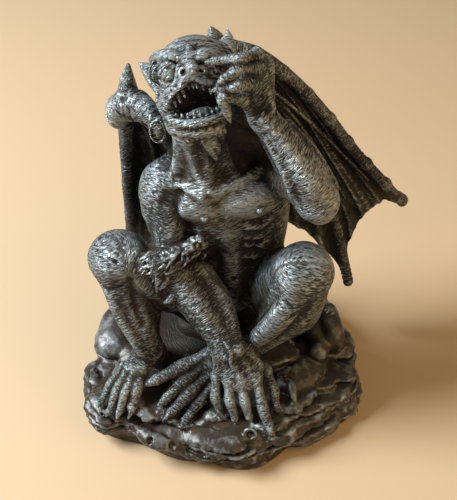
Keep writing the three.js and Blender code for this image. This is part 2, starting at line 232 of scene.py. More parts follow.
layer(-3, 7.5, 0.97, 1, 0.4, roundness=2.8)
layer(5, 12, 0.985, 2, 1.9, roundness=2.2)
layer(10.5, 16.5, 0.93, 3, 4.1, (0.5, 0.5), 1.8)
layer(15, 20, 0.84, 4, 2.2, (0, 1.5), 1.6)
layer(19, 23.5, 0.74, 4, 5.3, (-2, 3), 1.6)
layer(22, 27, 0.60, 3, 3.3, (-2, 6), 1.8)
layer(24, 32, 0.44, 2, 0.9, (6, 15), 4)
ROCK_LUMPS = (
    ((50, 3, 22), (6, 12, 15), 0.2, 0.14), ((43, 0, 25), (6, 9, 9), 0.6, 0.3),
    ((56, -2, 13), (7, 12, 9), 0.1, 0.3),
    ((53, -20, 15), (10, 9, 6), -0.35, 0.25), ((52, -20, 6), (13, 11, 6.5), -0.3, 0),
    ((37, -34, 15), (14, 9, 5), 0.7, 0.25), ((38, -34, 6), (16, 12, 6.5), 0.5, 0),
    ((18, -44, 11), (17, 9, 7), 0.1, 0.2), ((-3, -45, 11), (14, 8.5, 7.5), 0.1, -0.15),
    ((-25, -42, 11.5), (17, 10, 6.5), -0.45, 0.25), ((-48, -32, 14), (14, 11, 7), 0.6, 0.15),
    ((-55, -20, 10), (9, 14, 8), 0.2, 0), ((-50, 3, 20), (9, 14, 9), -0.2, 0.2),
    ((-42, 12, 23), (9, 9, 8), 0.5, 0.3), ((14, 33, 24), (20, 11, 11), 0.2, 0.1),
    ((-20, 32, 22), (17, 11, 10), -0.3, 0.2), ((38, 22, 20), (12, 12, 10), 0.8, 0.2),
    ((44, -10, 24), (6, 4.5, 7), 1.2, 0.4), ((36, -22, 21), (13, 7, 4.5), 0.9, 0.35),
    ((24, -38, 19), (10, 6, 3.5), -0.5, 0.3),
)
for centre, radii, turn, tip in ROCK_LUMPS:
    lump(centre, radii, turn, tip, 1.1, 3.2)

# broken plates lying at all angles on the ledges
PLATES = 26
for i in range(PLATES):
    a = rng.uniform(-math.pi, math.pi)
    rim = float(rock_outline(np.array(a)))
    share = rng.uniform(0.62, 0.93)
    size = rng.uniform(5, 10)
    height = np.interp(share, (0.6, 0.8, 0.9, 1), (25.5, 21, 17, 10))
    spot = (share * rim * math.cos(a), share * rim * math.sin(a), height - 1.5)
    lump(spot, (size * 1.4, size * 0.8, 2.8),
         a + math.pi / 2 + rng.uniform(-0.6, 0.6), rng.uniform(-0.45, 0.2), 1.6, 2.4)



def fissure(height, wave, thick, share, seed):
    """A wavy level gap that undercuts the rim between two layers."""
    cut, x, y, z = block((-78, -66, height - 6), (78, 56, height + 6))
    angle = np.arctan2(y, x)
    level = height + wave * np.sin(3 * angle + seed) + 0.4 * wave * np.sin(8 * angle + 2 * seed)
    inner = rock_outline(angle) * (share + 0.05 * np.sin(5 * angle + 1.7 * seed)) - np.hypot(x, y)
    gap = np.abs(z - level) - thick * (0.6 + 0.4 * np.sin(4 * angle + 3 * seed))
    cut_away(cut, np.maximum(inner, gap).astype(np.float32), 1)


# height, wave, half thickness, depth as a share of the outline, seed
FISSURES = ((5.5, 1.3, 0.8, 0.97, 0.7), (10.8, 1.8, 1.1, 0.93, 2.1),
            (15.2, 1.6, 0.9, 0.9, 4.4), (19.4, 1.5, 0.9, 0.84, 5.2))
for numbers in FISSURES:
    fissure(*numbers)

# short cracks in front
CRACKS = 26
for i in range(CRACKS):
    a = rng.uniform(-2.9, 0.2)
    r = float(rock_outline(np.array(a))) * rng.uniform(0.93, 1)
    z = rng.choice((6.5, 12.5, 17.5)) + rng.uniform(-1.5, 1.5)
    span = rng.uniform(0.05, 0.16)
    nodes = [(r * math.cos(a + s), r * math.sin(a + s), z + rng.uniform(-0.8, 0.8), w)
             for s, w in ((-span, 0.3), (0, 0.9), (span, 0.3))]
    strand(nodes, 0.8, 3, carve=True)
print("rock pressed")

# %% [markdown]
# Half-buried bits show in the front of the rock: a small long skull with an eye hole, a ring,
# rows of teeth and shards that stand up. They are shallow and worn, so each is a few strokes.

# %% Small relief in the rock
strand([(-38, -46, 15, 2), (-32, -50.5, 15, 3.4), (-24, -53, 13.5, 3.2), (-17, -54, 12, 1.6)], 0.8)
egg((-21.5, -55, 15), (1.7, 1.7, 1.7), 0.5, carve=True)
egg((-31, -53, 16.5), (1.2, 1.2, 1.2), 0.5, carve=True)
groove([(-37, -49, 13, 0.5), (-29, -54, 12, 0.8), (-20, -56.5, 10.5, 0.5)], 0.5)
strand([(-33, -42, 20, 1), (-24, -45, 20.5, 1.5), (-14, -48, 19, 1), (-8, -46, 19.5, 0.7)], 0.6)
for i in range(5):
    strand([(-36 + 2.6 * i, -40.5 - i * 0.6, 22, 1), (-35.5 + 2.6 * i, -43.5 - i * 0.6, 19.5, 0.4)], 0.4)
for i in range(3):
    strand([(5 + 2.3 * i, -54.5, 15.5 - 0.6 * i, 1.1), (6.5 + 2.3 * i, -58, 12 - 0.5 * i, 0.5)], 0.4)
ring = [(12.5 + 2.5 * math.cos(t), -51 + 1.6 * math.sin(t), 18 + 1.6 * math.sin(t), 0.9)
        for t in np.linspace(0, 2 * math.pi, 10)]
strand(ring, 0.5, 2)
egg((12.5, -51.6, 18.6), (1.5, 1.5, 2.2), 0.4, carve=True)
strand([(28, -28, 24, 3.5), (31, -32, 26, 2.6), (32, -38, 24, 1.2)], 1)
strand([(27, -24, 26, 2.2), (30, -26, 33, 0.8)], 0.8, 2)
strand([(22, -22, 26, 2), (25, -25, 31, 0.6)], 0.8, 2)
print("relief pressed")

# %% [markdown]
# ## Trunk
#
# A lean, hollow-bellied body: barrel ribs, a narrow waist, flat chest muscles and a fan of
# muscle from the armpit to the hip. Ribs are thin ridges. The neck is stretched by the thrown
# back head, so two cords run up it from the pit of the throat, under the skin.

# %% Trunk and neck
egg((0, 6, 103), (22, 15.5, 21), 3)
egg((5, 8, 74), (18, 13.5, 26), 5)
egg((8, 9, 46), (18, 16, 16), 4)
strand([(19, 9, 113, 10), (19, 8, 92, 9.5), (16.5, 8, 70, 9.5)], 4)
strand([(-19, 8, 108, 9), (-13, 8, 90, 8.5), (-10, 8, 70, 9)], 4)
strand([(-7, 9, 140, 6.5), (-15.5, 7, 126, 6.4), (-23.5, 4, 116.5, 8)], 4)
strand([(-5, 9, 142, 7), (8, 10, 130, 7.5), (22, 9, 124, 10)], 4)
strand([(-2, 4, 116, 15), (-6, 1.2, 130, 10.2), (-8.5, -1, 148, 9)], 6)
strand([(-23.5, -1, 118.5, 2.2), (-18.5, -3, 127, 1.8), (-16, -3.5, 138, 1.6),
        (-15.5, -5, 148, 1.8)], 4.5)
strand([(-5.8, -10.6, 121.5, 1.5), (-8, -8.9, 130, 1.2), (-10.6, -8.9, 140, 1.2),
        (-12.5, -9, 149, 1.4)], 3.2)
strand([(-5.4, -10.6, 121.5, 1.5), (-4.6, -8.9, 131, 1.3), (-5, -9, 141, 1.2),
        (-5.4, -8.6, 149, 1.4)], 3.2)
strand([(7, -5, 121, 1.6), (2.6, -4.5, 134, 1.4), (-1, -5.5, 148, 1.8)], 4)
egg((-5.6, -11.6, 123), (1.6, 1.8, 2.6), 1.8, carve=True)
strand([(-7.5, -10.4, 122.5, 1.5), (-14, -8, 123.5, 1.7), (-23, -1, 120.5, 2.2)], 4)
strand([(-3.5, -10.4, 122.5, 1.5), (8, -7, 126, 1.8), (20, 1, 128, 2.6)], 4)
egg((-9.5, -4.5, 113.5), (11.5, 7.5, 9), 3)
egg((10.5, -5, 116.5), (13, 8, 9.5), 2.6)
strand([(12, -6, 112, 4), (22, -2, 119, 5), (30, -6, 127, 5)], 3)
strand([(-14, -5, 112, 4), (-22, -3, 112, 5)], 3)
groove([(-4.2, -13.2, 122, 1.1), (-1.4, -13.2, 115, 1.6), (0.4, -12.3, 106, 1.2)], 2.4)
groove([(-16, -8.5, 122, 0.7), (-18.5, -9.2, 113, 1.3), (-17, -10, 103, 0.8)], 3)
groove([(-14, -11.4, 107.5, 0.6), (-7, -12.4, 105.5, 0.9), (0, -11.6, 107, 0.5)], 2.4)
groove([(4, -12.6, 109, 0.6), (12, -13.2, 108.4, 1), (20, -9, 112, 0.5)], 2.4)
for x, y, z in ((-6.5, -12, 110.5), (15.5, -12.6, 115.5)):
    egg((x, y, z), (1.5, 1.2, 1.5), 0.6)
RIBS = 4
for i in range(RIBS):
    z = 101 - 6.5 * i
    strand([(23 - 0.9 * i, 4, z + 4, 1.2), (17, -5.6 + 0.7 * i, z, 0.9), (11, -7.8 + i, z + 1, 0.5)], 3.6)
    strand([(-20 + 1.6 * i, 2, z + 2, 1.2), (-12 + i, -6.4 + 0.7 * i, z - 1, 0.9),
            (-7, -7.8 + i, z + 1, 0.5)], 3.6)
strand([(3, -5.5, 98, 3.5), (4, -4.5, 84, 3.5), (5, -5, 66, 4), (6, -7, 56, 5)], 4)
groove([(-2, -7, 88, 0.9), (5, -9.5, 86.5, 1.4), (13, -7, 88, 0.9)], 2.2)
groove([(14, -7, 90, 1), (17, -5, 80, 1.2), (14, -6, 70, 1)], 2.2)
egg((5, -8.5, 72), (1, 1.4, 1.2), 1, carve=True)
print("trunk pressed")

# %% [markdown]
# ## Arms
#
# Each arm is built from its muscle bellies rather than from one tube, so light catches the
# ridges between them. The right arm hangs across the body with the hand flat on the rock, and
# its back shows four tendons and a raised vein. The left elbow sticks out and the hand comes up
# to the mouth.

# %% Right arm and hand
RING_SKIN = (3.4, 0.22)


def ringed(nodes, blend):
    """A muscle with faint ridges of skin across it."""
    strand(nodes, blend, rings=RING_SKIN)


strand([(-22.8, 3, 115.5, 9.8), (-24.5, 0, 105, 8)], 3, 2)
ringed([(-24.5, 2, 112, 8.5), (-23, -2, 98, 6.8), (-20.5, -6, 83, 7)], 3)
strand([(-22, -5, 110, 5), (-21, -9, 97, 6.5), (-20, -10, 84, 5)], 2)
strand([(-28.5, 4, 110, 4.5), (-27, 2, 98, 5), (-22.5, 0, 84, 5)], 1.8)
strand([(-22.5, -4.5, 123, 0.6), (-24.5, -6.6, 117, 0.7), (-26, -7.6, 110, 0.8),
        (-25.8, -8.8, 100, 0.8),
        (-25, -10.2, 91, 0.7)], 1.4)
ringed([(-22, -6, 82, 9), (-14, -14, 73, 9.5), (-3, -25, 60, 7), (3, -31, 52, 5.8)], 3)
ringed([(-18, -15, 82, 5), (-10, -22, 71, 6.2), (-1, -30, 58, 3.6), (2, -34, 53, 3)], 1.8)
ringed([(-20, -11, 73, 4), (-12, -16, 63, 5.2), (-2, -26, 53, 3.5)], 1.8)
strand([(-8, -12, 79, 5), (0, -19, 68, 5), (5, -28, 57, 3.5)], 1.8)
egg((6.5, -33, 54.5), (3, 3, 3), 2)
egg((-0.5, -33, 50), (3, 3, 3), 2)
strand([(2.5, -30.5, 54, 6), (5.5, -33, 48, 8.5), (8.5, -35, 42.5, 9.5)], 2.5,
       flat=((0, -0.75, 0.66), 0.34))
RIGHT_FINGERS = (
    ((-2.2, -36, 40.2), (-2.8, -40.5, 31), (-0.5, -43.2, 22.3), 2.2),
    ((2.8, -38, 40), (3.6, -42.5, 31), (5.8, -45.2, 22.8), 2.3),
    ((8.4, -38.5, 40.4), (10, -43, 31.5), (12, -46, 24), 2.3),
    ((14.9, -37.5, 40.6), (18, -44.5, 28), (22.4, -51, 15.4), 2.4),
    ((19.4, -32, 39), (22.8, -37.5, 32), (23.8, -41, 26), 2.3),
)
FINGER_RINGS = (1.7, 0.09)


def finger(knuckle, middle, tip, r, root=None, nail=1.0, rings=FINGER_RINGS):
    """Swollen at the joints, thin between them, with a pad at the end and a pointed nail."""
    k, m, t = (np.array(p, float) for p in (knuckle, middle, tip))
    nodes = [(*k, r * 1.12), (*(k * 0.55 + m * 0.45), r * 0.88), (*m, r * 1.08),
             (*(m * 0.5 + t * 0.5), r * 0.86), (*t, r * 0.72)]
    strand(nodes, 0.9, 4, rings=rings)
    if root is not None:
        strand([(*root, r * 0.7), (*((np.array(root) + k) / 2), r * 0.7), (*k, r * 0.95)], 1.5, 3)
    on = (t - m) / np.linalg.norm(t - m)
    strand([(*(t + on * r * 0.1), r * 0.8), (*(t + on * r * (0.8 + nail)), r * 0.22)], 0.5, 2)


for i, (knuckle, middle, tip, r) in enumerate(RIGHT_FINGERS):
    finger(knuckle, middle, tip, r, root=(-1.5 + i * 2.1, -33.2 + 0.2 * i, 54.5), nail=0.5)
strand([(1.4, -35, 61.5, 0.7), (4, -37, 57, 0.9), (3.9, -38.2, 52, 0.9),
        (5.6, -39, 47.5, 0.6)], 0.5)
print("right arm pressed")

# %% Left arm and hand
ringed([(24, 8, 122, 11), (31, -6, 126, 9), (36.5, -22, 129, 7.5)], 3)
strand([(22, 1, 126, 6), (29, -9, 131, 7), (33, -18, 132, 5.5)], 2)
strand([(30, 8, 118, 6), (36, -6, 120, 6.5), (38, -20, 123, 6)], 2)
ringed([(36.5, -22, 129.5, 8), (32, -21, 140, 7.8), (26, -19, 149, 6.6), (20, -16, 157, 5.6),
        (15, -14, 163, 5)], 3)
ringed([(39, -24, 132, 5), (32, -25, 142, 5.2), (23, -21, 155, 3.4), (16, -18, 164, 2.8)], 1.6)
strand([(30, -17, 131, 5), (24.5, -15.5, 143, 5.2), (17, -12, 156, 4.2)], 1.6)
strand([(40, -18, 133, 4.5), (33, -14.5, 145, 4), (24, -12, 156, 3.4)], 1.6)
egg((38, -25.5, 127), (4.5, 4, 5), 2)
strand([(42, -25, 129, 1.4), (40, -24.5, 136, 2), (34.5, -23, 144, 1)], 2.4)
strand([(26, -27, 137, 1), (23, -24.5, 146, 1.5), (17, -20.5, 157, 0.9)], 2.2)
strand([(15.5, -13, 162, 5.2), (13.5, -12.8, 171, 6.8), (13, -12, 180, 7.2)], 2.5,
       flat=((0.55, -0.8, 0.2), 0.5))
LEFT_FINGERS = (
    ((12.7, -12, 188), (6.8, -18.5, 190.2), (-1.9, -17, 188.2), 2),
    ((12.4, -14, 184), (6.2, -20, 187), (1.5, -20, 183), 2.1),
    ((11.5, -15.5, 177.6), (5.9, -21, 181), (0.4, -20, 179), 2.2),
)
for i, (knuckle, middle, tip, r) in enumerate(LEFT_FINGERS):
    finger(knuckle, middle, tip, r, root=(18.5 - 1.8 * i, -15.5, 167.5 - 1.2 * i), nail=0.8)
finger((8, -17.5, 172.4), (0.9, -22.5, 176.8), (2.6, -22.5, 170.6), 1.9, root=(13.5, -15.5, 162), nail=1.5)
print("left arm pressed")

# %% [markdown]
# A ruff of matted hair hangs off the right elbow like a torn cuff. It is a set of tapering
# locks fanned round the joint, each with its own length and bend, and four long stray ones.

# %% Hair at the elbow
LOCKS = 150
ELBOW_RIM = [(-7.4, -9, 98.5), (-12.7, -13, 96.7), (-20.8, -16, 93.4), (-28, -14, 89.5), (-30, -9, 87)]
rim = smooth_path([(*p, 1) for p in ELBOW_RIM], 12)[:, :3]
strand([(*p, r) for p, r in zip(ELBOW_RIM, (1.2, 3, 3.8, 3.4, 2))], 1.5)
for i in range(LOCKS):
    share = i / (LOCKS - 1)
    root = rim[int(share * (len(rim) - 1))] + rng.uniform(-1, 1, 3) * (1.5, 2.4, 3.4) - (0, 1.6, 0)
    lean = np.array((-0.80, -0.30, -0.25 - 0.45 * share)) + rng.uniform(-0.55, 0.55, 3)
    lean /= np.linalg.norm(lean)
    reach = rng.uniform(3.5, 9) * (0.55 + 0.45 * min(share * 3, 1))
    bend = rng.uniform(-1.6, 1.6, 3)
    thick = rng.uniform(0.7, 1.25)
    strand([(*root, thick), (*(root + lean * reach * 0.5 + bend), thick * 0.8),
            (*(root + lean * reach), 0.25)], 0.25, 3)
strand([(-23, -15, 87, 1.8), (-26, -18, 81, 1.6), (-27, -18.5, 74.5, 0.5)], 0.6)
strand([(-21, -16, 87, 1.6), (-23, -19, 81, 1.4), (-25.5, -19.5, 77, 0.5)], 0.6)
strand([(-27, -13, 88, 1.8), (-31, -15, 84, 1.3), (-33, -16, 81, 0.4)], 0.6)
strand([(-18, -20, 76, 2.2), (-22, -22, 73, 1.3), (-24, -22, 71.5, 0.5)], 0.9)
print("hair pressed")

# %% [markdown]
# ## Legs and feet
#
# Folded legs: the heels are close to the hips and the knees stand high. A sharp shin edge runs
# down the front, with the calf behind it. The left foot lies across the rock, its thick toes
# pointing to the figure's right.

# %% Legs
ringed([(-8, 4, 47, 15), (-28, -1, 67, 12.5), (-43, -4, 82, 11)], 4)
strand([(-18, -8, 60, 6), (-32, -11, 75, 7), (-42, -13, 86, 6.5)], 2.5)
egg((-44.5, -7.5, 83.5), (10.8, 9.5, 9.6), 3.5)
egg((-38.5, -9, 88), (6, 6, 5), 3)
egg((-47, -13, 84.5), (6, 5, 6.5), 3)
ringed([(-45, -6, 82, 11), (-40, -12, 65, 8.6), (-33.5, -20, 46, 6), (-32, -21, 40, 6)], 3)
strand([(-48, -14, 78, 3.4), (-43.5, -20, 62, 2.8), (-35, -26, 44, 2.2)], 1.8)
strand([(-37, -5, 72, 7), (-33, -10, 58, 6.5), (-31, -15, 47, 3.5)], 2.2)
strand([(-47, -8, 74, 4.5), (-44, -13, 60, 4.2), (-36, -20, 46, 3)], 2)
ringed([(20, 4, 47, 15), (28, -8, 70, 13.5), (34, -17, 86, 11.5)], 4)
egg((34.5, -18.5, 86.5), (10, 9, 9.4), 3.5)
egg((29, -20, 92), (5.5, 5.5, 4.5), 3)
egg((30.5, -25.5, 87.5), (5.5, 5, 6.5), 2.5)
egg((39.5, -22, 92), (5, 5, 5), 2.5)
ringed([(34, -18, 86, 12), (30, -19, 68, 11), (20, -18, 48, 7.5), (12, -17, 39, 6.5)], 3)
ringed([(30, -27, 82, 4.5), (23, -29, 68, 5), (15, -25, 52, 4), (9, -22, 42, 3.5)], 2.2)
strand([(38, -20, 76, 6), (34, -18, 60, 7.5), (24, -15, 46, 5)], 2.5)
egg((25, -30, 74), (5, 3.5, 5), 2.5)
groove([(24.5, -31.5, 89, 0.6), (20.5, -30.5, 81, 1.1), (17.5, -28.5, 73, 0.6)], 3)
groove([(36, -30, 78, 0.6), (30, -30.5, 66, 1), (22, -27, 52, 0.6)], 3)
groove([(-38, -19, 82, 0.5), (-37, -19.2, 70, 0.8), (-34, -22, 58, 0.5)], 3)
groove([(23.5, -28.5, 83, 0.4), (30.5, -32.5, 79.8, 0.9), (38, -28.5, 81, 0.4)], 1.4)
groove([(23, -29, 78.5, 0.4), (28.5, -32, 76, 0.7), (34, -30.5, 75.5, 0.4)], 1.4)
groove([(-53.5, -13, 79, 0.4), (-48, -18.6, 76, 0.9), (-41.5, -17.5, 78, 0.4)], 1.4)
groove([(-44, -16.5, 91, 0.4), (-39.5, -15.8, 88, 0.7), (-37.5, -14.5, 83.5, 0.4)], 1.4)
egg((-14, -9, 46), (9, 8.5, 10), 3, carve=True)
egg((-7, -13, 52), (7, 6, 8), 3, carve=True)
print("legs pressed")

# %% Feet
strand([(-32, -20, 42, 5.5), (-37, -27, 35, 6), (-41, -32, 32, 6)], 2.5, flat=((0, -0.4, 0.92), 0.55))
egg((-31, -17, 33), (6, 7, 6), 2.5)
RIGHT_TOES = (
    ((-43, -27.5, 36), (-49, -33.5, 31), (-53.5, -38, 24), 1.9),
    ((-41, -29.5, 36.5), (-46, -36.5, 31), (-49.5, -41.5, 22.5), 2),
    ((-38.5, -30.5, 36.5), (-42, -38, 31.5), (-45, -43, 23.5), 2.1),
    ((-35.5, -29, 36), (-37.5, -36, 31.5), (-39.5, -41.5, 25), 2.9),
)
for i, (knuckle, middle, tip, r) in enumerate(RIGHT_TOES):
    finger(knuckle, middle, tip, r, root=(-34.5 + 1.2 * i - 1, -24, 38.5), nail=0.9)
strand([(12, -16, 38, 7), (4, -20, 36, 7.5), (-5, -24, 34.5, 7)], 2.5, flat=((0, -0.4, 0.92), 0.75))
LEFT_TOES = (
    ((-4, -22, 38.5), (-17.5, -28.5, 36.5), (-28.5, -33, 33.5), 3.3),
    ((-6, -26, 36), (-16, -33, 33), (-24, -38.5, 28), 2.8),
    ((-6, -30, 33), (-14.5, -38, 29.5), (-22, -43.5, 24), 2.7),
    ((-4, -33, 30), (-10, -40, 26.5), (-16, -45.5, 21), 2.4),
)
for i, (knuckle, middle, tip, r) in enumerate(LEFT_TOES):
    finger(knuckle, middle, tip, r, root=(8, -17 - 1.5 * i, 39 - i), nail=1.1)
print("feet pressed")

# %% [markdown]
# ## Head
#
# The head is thrown back about forty degrees and tilts to the figure's right, so its parts are
# placed in their own frame: u to the viewer's right, f out of the face and w to the crown. It
# is a bald dome over a heavy brow, round staring eyes in pouched sockets, a short pushed-up
# nose and a mouth so wide that it creases the cheeks.

# %% Head frame
PITCH, ROLL, YAW = (math.radians(a) for a in (40, 17, 6))
HEAD = np.array((-8, 1, 165))
OUT = np.array((-math.sin(YAW) * math.cos(PITCH), -math.cos(YAW) * math.cos(PITCH), math.sin(PITCH)))
level = np.array((math.cos(YAW), -math.sin(YAW), 0))
upright = np.cross(OUT, level)
SIDE = level * math.cos(ROLL) + upright * math.sin(ROLL)
CROWN = upright * math.cos(ROLL) - level * math.sin(ROLL)
FACE_AXES = (SIDE, OUT, CROWN)


def at(u, f, w, *radius):
    return (*(HEAD + SIDE * u + OUT * f + CROWN * w), *radius)


def face_strand(nodes, blend=1.2, **more):
    strand([at(*n) for n in nodes], blend, **more)


def face_egg(centre, radii, blend=1.2, carve=False):
    egg(at(*centre), radii, blend, FACE_AXES, carve)


face_egg((-0.5, -3, 5), (15, 15.5, 14.5), 3)
face_egg((-2, 4, -2), (11.8, 9, 10), 3)
face_egg((-5, 5, -13), (9, 7, 5), 3)
face_strand([(-12, 0, -4, 4), (-11, 5, -11.5, 3.2), (-4, 9, -15, 3.2), (3.5, 8, -15, 3),
             (6.8, 3, -10.5, 3.4)], 2.5)
# brow and forehead folds
face_strand([(-13.5, 4, 13, 1.8), (-10, 9, 12.5, 2.6), (-6, 12, 11, 3), (-2.5, 13.5, 8.5, 2.2)], 1.4)
face_strand([(2, 13.5, 8.5, 2.2), (6, 13, 8.5, 3), (10, 10, 7, 2.6), (13, 5, 6, 2)], 1.4)
for w, depth in ((13.2, 0), (15.4, -2.2), (17.2, -5)):
    face_strand([(-10, 8.0 + depth, w - 0.8, 0.3), (-4, 11.3 + depth, w + 0.4, 0.7),
                 (3, 11.6 + depth, w - 1.2, 0.7),
                 (9, 8.6 + depth, w - 3.2, 0.3)], 1, carve=True)
face_strand([(0.2, 13.2, 8.4, 1.4), (0.5, 12, 11.2, 1.4), (0.9, 10.4, 13.6, 0.8)], 2.4)
face_strand([(-0.9, 13.6, 10.5, 0.5), (-1.6, 11.6, 14, 0.6), (-2.6, 8, 17.2, 0.3)], 0.8, carve=True)
print("skull pressed")

# %% [markdown]
# Each eye is a ball in a deep socket, with two lids and wider folds of loose skin round them.
# A fold is an arc that thins at both ends and sinks away towards the side of the face.

# %% Eyes
# reach from the pupil, width, lift, first and last angle
EYE_FOLDS = ((3.4, 1.15, 1.3, 12, 168), (3.6, 0.8, 0.7, 195, 345), (5.5, 0.6, 0, 5, 190),
             (5.5, 0.6, -0.2, 200, 335),
             (7.1, 0.5, -0.9, 60, 200), (6.9, 0.5, -1.1, 215, 310))
for u, w in ((-8.3, 5.4), (5, 1.8)):
    face_egg((u, 13.2, w), (5.4, 4.4, 5), 1.2, carve=True)
    face_egg((u, 11.2, w), (2.9, 3.5, 2.9), 0.2)
    for reach, width, lift, first, last in EYE_FOLDS:
        nodes = []
        for share in np.linspace(0, 1, 9):
            a = math.radians(first + (last - first) * share)
            wavy = reach * (1 + 0.05 * math.sin(3 * a + reach))
            du, dw = wavy * math.cos(a) * 1.08, wavy * math.sin(a)
            sink = 0.16 * abs(du) + 0.10 * abs(dw) + 0.12 * du * np.sign(u)
            nodes.append((u + du, 11.9 + lift - sink, w + dw,
                          width * (0.45 + 0.55 * math.sin(math.pi * share))))
        face_strand(nodes, 0.9, parts=2)
    face_strand([(u - 0.4, 14.5, w - 0.9, 0.3), (u - 0.4, 14.6, w + 1, 0.4)], 0.2, parts=2, carve=True)
print("eyes pressed")

# %% [markdown]
# The nose is short, with its nostrils facing forward, and deep folds run from it round the
# mouth. The mouth is a hollow with a row of blunt pegs above and below.

# %% Nose and mouth
face_strand([(-0.2, 13, 9.5, 2.2), (0.2, 15.2, 7, 2.2), (0.8, 17, 4.4, 2.6)], 1.4)
face_egg((-2.6, 15.4, 4.2), (2.2, 2.2, 2.4), 1)
face_egg((3.6, 15.2, 3), (2.2, 2.2, 2.4), 1)
face_egg((-2.6, 17.2, 4), (1.1, 1.7, 1.4), 0.5, carve=True)
face_egg((3.4, 16.8, 2.6), (1, 1.6, 1.2), 0.5, carve=True)
for i in range(4):
    face_strand([(1.2 + 0.9 * i, 18.4 - 0.5 * i, 3.0 - 0.3 * i, 0.55),
                 (1.0 + 0.9 * i, 16.8 - 0.4 * i, 1.2 - 0.3 * i, 0.4)], 0.3, parts=2)
UPPER_LIP = [(-12.6, 8, -6.2), (-10.5, 10.8, -3.8), (-6.5, 13.8, -1.4), (-2.2, 15.8, 2.2),
             (1, 16.2, 1.8),
             (5.2, 14.4, -1.4), (8, 11.2, -4.8), (8.6, 8.4, -9.4)]
LOWER_LIP = [(-12.6, 7.8, -7.4), (-10.4, 10.6, -11.2), (-5.4, 13.6, -13.2), (-0.1, 14, -13.9),
             (4.9, 12.2, -13.4),
             (7.4, 9.6, -12.2), (8.6, 8.2, -10.4)]
face_strand([(*p, 1.7) for p in UPPER_LIP], 1.4, rings=(1.5, 0.12))
face_strand([(*p, 1.6) for p in LOWER_LIP], 1.4, rings=(1.6, 0.12))
face_egg((-1.6, 13.5, -6.2), (8.6, 8.6, 5.4), 1, carve=True)
face_egg((-5.5, 12.5, -6.6), (4.8, 6.5, 4.3), 1, carve=True)
face_egg((3.8, 12.2, -7), (5, 7, 5.2), 1, carve=True)
face_egg((-0.5, 7.5, -10.5), (5.5, 5.5, 2.4), 1)
face_strand([(-4, 14.5, 7, 0.9), (-6.2, 14.2, 1.6, 1.3), (-11, 11.2, -1.2, 1.4),
             (-14, 7.5, -4.5, 1.2)], 0.8)
face_strand([(-9.5, 11.2, -0.6, 0.7), (-13.4, 8, -1.6, 1), (-14.8, 4.5, -4.5, 0.8)], 0.7)
face_strand([(-14.5, 6, 1, 0.8), (-15.2, 4.5, -3, 1.1), (-14.2, 5.2, -8, 0.9)], 0.7)
face_strand([(4.6, 14.5, 1.8, 1.1), (8, 11.8, -0.4, 1.2), (10.2, 8, -4.8, 1)], 0.8)


def along(points, share):
    """A point at a share of the way round a polyline."""
    spot = share * (len(points) - 1)
    i = min(int(spot), len(points) - 2)
    a, b = np.array(points[i]), np.array(points[i + 1])
    return a + (b - a) * (spot - i)


for i in range(13):
    share = 0.06 + 0.86 * i / 12
    top = along(UPPER_LIP, share) + (0, -1.7, -1)
    size = (1, 1.15, 0.9)[i % 3]
    face_strand([(*top, 0.85 * size), (*(top + (0.25 * (top[0] < 0), 0.3, -2.6 * size)), 0.45)], 0.3,
                parts=2)
    foot = along(LOWER_LIP, share) + (0, -1.6, 0.9)
    tall = 3.4 if i in (5, 7) else 2.3 * size
    face_strand([(*foot, 0.95 * size), (*(foot + (0, 0.5, tall)), 0.5)], 0.3, parts=2)
# chin, with short wrinkles and two locks of beard that hang to one side
face_strand([(-8, 9.5, -15, 1.8), (-2, 11, -16.8, 2.2), (4, 8.5, -16.5, 1.8)], 1.5)
for i in range(9):
    u = -8 + 1.75 * i
    face_strand([(u, 11.3 - abs(u + 1) * 0.25, -15, 0.75),
                 (u + 0.5, 9.6 - abs(u + 1) * 0.2, -19, 0.55)], 0.5, parts=2)
strand([(-5, -11.3, 149.5, 2.2), (-3.4, -11.6, 145.5, 1.6), (-1.6, -11, 140.5, 0.6)], 1.4,
       rings=(1.3, 0.15))
strand([(-3, -10.8, 149.5, 2), (-1.2, -10.8, 146, 1.4), (-0.6, -10.2, 142.5, 0.5)], 1.2,
       rings=(1.3, 0.15))
print("mouth pressed")

# %% [markdown]
# The ears are pointed leaves of skin with a hollow in the front.

# %% Ears
face_strand([(-12.5, 2, 5, 5), (-16, 0, 9.5, 3.2), (-19.6, -2, 13.6, 0.7)], 1.6, flat=(OUT, 0.45))
face_strand([(-13, 4.2, 5.5, 2.6), (-15.6, 3, 8.8, 1.8), (-18, 1, 11.6, 0.5)], 0.6, carve=True)
face_strand([(11.5, -1, 9, 4.6), (13.8, -3, 13.5, 2.8), (15, -4, 17.6, 0.7)], 1.6, flat=(OUT, 0.5))
print("ears pressed")

# %% [markdown]
# ## Wings
#
# Bat wings: a knobbed leading bone with cross ridges like rope, a second finger bone that runs
# out past the web as a spike, and thin skin between them that hangs in folds. Each web is a
# curved sheet, described by how far back it lies for every height and distance across.

# %% Wing bones
LEFT_LEADING = [(0, 22, 168, 4), (14, 25, 163, 3), (30, 29, 147, 2.7), (45, 32, 127, 2.5),
                (58, 36, 106, 2.4),
                (74, 41, 84, 2.1), (84.5, 44, 69, 1.8)]
LEFT_SECOND = [(2, 23, 166, 2.8), (18, 29, 146, 2), (34, 33, 115, 1.9), (50, 32, 75, 2.4),
               (61, 28, 32, 2.5)]
LEFT_BACK = [(2, 22, 165, 4), (6, 26, 145, 3.5), (10, 23, 118, 3), (10, 20, 94, 3), (9, 19, 74, 3)]
RIGHT_LEADING = [(-37, 15, 150, 4.2), (-39, 18, 125, 2.8), (-40.5, 23, 95, 2.6), (-42, 30, 68, 2.4),
                 (-46, 41, 41, 1.8)]
RIGHT_SECOND = [(-35, 16, 149, 2.6), (-25, 22, 128, 2.2), (-21, 27, 108, 2), (-21, 35, 75, 1.9),
                (-26, 42, 46, 1.4)]
